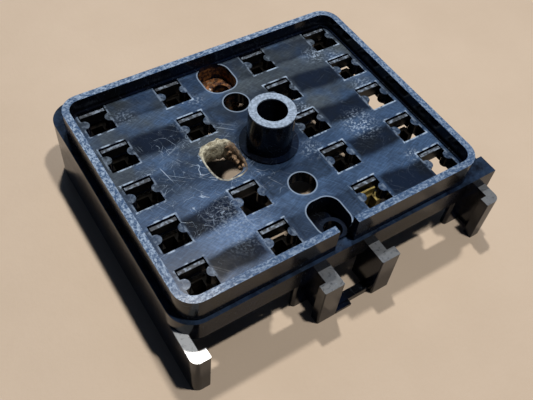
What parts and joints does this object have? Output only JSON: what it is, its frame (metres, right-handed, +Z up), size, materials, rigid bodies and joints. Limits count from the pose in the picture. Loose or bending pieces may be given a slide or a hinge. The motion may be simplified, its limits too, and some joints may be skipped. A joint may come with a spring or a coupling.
{
  "type": "cartridge fuse holder",
  "caption": "Open fuse and relay holder: a rimmed plate of contact cells with a central bolt tube, on a frame that takes wiring connectors from the front.",
  "frame": {"origin": "axis of the centre bolt bore, at the level the frame stands on", "axes": "+Z up along the bore, +X along the open front edge, +Y towards the closed back"},
  "size_m": [0.0892, 0.0773, 0.0333],
  "materials": {
    "tray_plastic": "semi-gloss black moulded nylon, scratched and worn pale on its edges",
    "frame_plastic": "glossy black moulded nylon",
    "finger_plastic": "black nylon with bright worn edges",
    "rusted_steel": "rusted steel",
    "contact_tarnished": "tinned brass, darkened",
    "contact_brass": "dull brass"
  },
  "bodies": {
    "housing": {"terminal_tray": "tray_plastic", "base_frame": "frame_plastic", "centre_guide": "frame_plastic", "corner_guide": "frame_plastic", "keyhole_insert": "rusted_steel", "contact_c1r1": "contact_tarnished", "contact_c1r2": "contact_tarnished", "contact_c1r3": "contact_tarnished", "contact_c1r4": "contact_tarnished", "contact_c1r5": "contact_tarnished", "contact_c2r1": "contact_tarnished", "contact_c2r2": "contact_tarnished", "contact_c2r5": "contact_tarnished", "contact_c3r1": "contact_tarnished", "contact_c3r2": "contact_tarnished", "contact_c3r3": "contact_tarnished", "contact_c3r4": "contact_tarnished", "contact_c3r5": "contact_brass", "contact_c4r1": "contact_tarnished", "contact_c4r2": "contact_tarnished", "contact_c4r4": "contact_tarnished"},
    "finger_c1r1": {"lock_finger_c1r1": "finger_plastic"},
    "finger_c1r2": {"lock_finger_c1r2": "finger_plastic"},
    "finger_c1r3": {"lock_finger_c1r3": "finger_plastic"},
    "finger_c1r4": {"lock_finger_c1r4": "finger_plastic"},
    "finger_c1r5": {"lock_finger_c1r5": "finger_plastic"},
    "finger_c2r1": {"lock_finger_c2r1": "finger_plastic"},
    "finger_c2r2": {"lock_finger_c2r2": "finger_plastic"},
    "finger_c2r4": {"lock_finger_c2r4": "finger_plastic"},
    "finger_c2r5": {"lock_finger_c2r5": "finger_plastic"},
    "finger_c3r1": {"lock_finger_c3r1": "finger_plastic"},
    "finger_c3r2": {"lock_finger_c3r2": "finger_plastic"},
    "finger_c3r3": {"lock_finger_c3r3": "finger_plastic"},
    "finger_c3r4": {"lock_finger_c3r4": "finger_plastic"},
    "finger_c3r5": {"lock_finger_c3r5": "finger_plastic"},
    "finger_c4r1": {"lock_finger_c4r1": "finger_plastic"},
    "finger_c4r2": {"lock_finger_c4r2": "finger_plastic"},
    "finger_c4r3": {"lock_finger_c4r3": "finger_plastic"},
    "finger_c4r4": {"lock_finger_c4r4": "finger_plastic"},
    "finger_c4r5": {"lock_finger_c4r5": "finger_plastic"}
  },
  "joints": [
    {"name": "finger_flex_c1r1", "type": "hinge", "parent": "housing", "child": "finger_c1r1", "pos_m": [-0.0335, 0.02895, 0.01958], "axis": [-1, 0, 0], "range_deg": [0, 8], "stiffness_Nm_per_rad": 0.004},
    {"name": "finger_flex_c1r2", "type": "hinge", "parent": "housing", "child": "finger_c1r2", "pos_m": [-0.0335, 0.01625, 0.01958], "axis": [-1, 0, 0], "range_deg": [0, 8], "stiffness_Nm_per_rad": 0.004},
    {"name": "finger_flex_c1r3", "type": "hinge", "parent": "housing", "child": "finger_c1r3", "pos_m": [-0.0335, 0.00355, 0.01958], "axis": [-1, 0, 0], "range_deg": [0, 8], "stiffness_Nm_per_rad": 0.004},
    {"name": "finger_flex_c1r4", "type": "hinge", "parent": "housing", "child": "finger_c1r4", "pos_m": [-0.0335, -0.00915, 0.01958], "axis": [-1, 0, 0], "range_deg": [0, 8], "stiffness_Nm_per_rad": 0.004},
    {"name": "finger_flex_c1r5", "type": "hinge", "parent": "housing", "child": "finger_c1r5", "pos_m": [-0.0335, -0.02185, 0.01958], "axis": [-1, 0, 0], "range_deg": [0, 8], "stiffness_Nm_per_rad": 0.004},
    {"name": "finger_flex_c2r1", "type": "hinge", "parent": "housing", "child": "finger_c2r1", "pos_m": [-0.0129, 0.02895, 0.01958], "axis": [-1, 0, 0], "range_deg": [0, 8], "stiffness_Nm_per_rad": 0.004},
    {"name": "finger_flex_c2r2", "type": "hinge", "parent": "housing", "child": "finger_c2r2", "pos_m": [-0.0129, 0.01625, 0.01958], "axis": [-1, 0, 0], "range_deg": [0, 8], "stiffness_Nm_per_rad": 0.004},
    {"name": "finger_flex_c2r4", "type": "hinge", "parent": "housing", "child": "finger_c2r4", "pos_m": [-0.0129, -0.00915, 0.01958], "axis": [-1, 0, 0], "range_deg": [0, 8], "stiffness_Nm_per_rad": 0.004},
    {"name": "finger_flex_c2r5", "type": "hinge", "parent": "housing", "child": "finger_c2r5", "pos_m": [-0.0129, -0.02185, 0.01958], "axis": [-1, 0, 0], "range_deg": [0, 8], "stiffness_Nm_per_rad": 0.004},
    {"name": "finger_flex_c3r1", "type": "hinge", "parent": "housing", "child": "finger_c3r1", "pos_m": [0.0129, 0.02895, 0.01958], "axis": [-1, 0, 0], "range_deg": [0, 8], "stiffness_Nm_per_rad": 0.004},
    {"name": "finger_flex_c3r2", "type": "hinge", "parent": "housing", "child": "finger_c3r2", "pos_m": [0.0129, 0.01625, 0.01958], "axis": [-1, 0, 0], "range_deg": [0, 8], "stiffness_Nm_per_rad": 0.004},
    {"name": "finger_flex_c3r3", "type": "hinge", "parent": "housing", "child": "finger_c3r3", "pos_m": [0.0129, 0.00355, 0.01958], "axis": [-1, 0, 0], "range_deg": [0, 8], "stiffness_Nm_per_rad": 0.004},
    {"name": "finger_flex_c3r4", "type": "hinge", "parent": "housing", "child": "finger_c3r4", "pos_m": [0.0129, -0.00915, 0.01958], "axis": [-1, 0, 0], "range_deg": [0, 8], "stiffness_Nm_per_rad": 0.004},
    {"name": "finger_flex_c3r5", "type": "hinge", "parent": "housing", "child": "finger_c3r5", "pos_m": [0.0129, -0.02185, 0.01958], "axis": [-1, 0, 0], "range_deg": [0, 8], "stiffness_Nm_per_rad": 0.004},
    {"name": "finger_flex_c4r1", "type": "hinge", "parent": "housing", "child": "finger_c4r1", "pos_m": [0.0335, 0.02895, 0.01958], "axis": [-1, 0, 0], "range_deg": [0, 8], "stiffness_Nm_per_rad": 0.004},
    {"name": "finger_flex_c4r2", "type": "hinge", "parent": "housing", "child": "finger_c4r2", "pos_m": [0.0335, 0.01625, 0.01958], "axis": [-1, 0, 0], "range_deg": [0, 8], "stiffness_Nm_per_rad": 0.004},
    {"name": "finger_flex_c4r3", "type": "hinge", "parent": "housing", "child": "finger_c4r3", "pos_m": [0.0335, 0.00355, 0.01958], "axis": [-1, 0, 0], "range_deg": [0, 8], "stiffness_Nm_per_rad": 0.004},
    {"name": "finger_flex_c4r4", "type": "hinge", "parent": "housing", "child": "finger_c4r4", "pos_m": [0.0335, -0.00915, 0.01958], "axis": [-1, 0, 0], "range_deg": [0, 8], "stiffness_Nm_per_rad": 0.004},
    {"name": "finger_flex_c4r5", "type": "hinge", "parent": "housing", "child": "finger_c4r5", "pos_m": [0.0335, -0.02185, 0.01958], "axis": [-1, 0, 0], "range_deg": [0, 8], "stiffness_Nm_per_rad": 0.004}
  ]
}
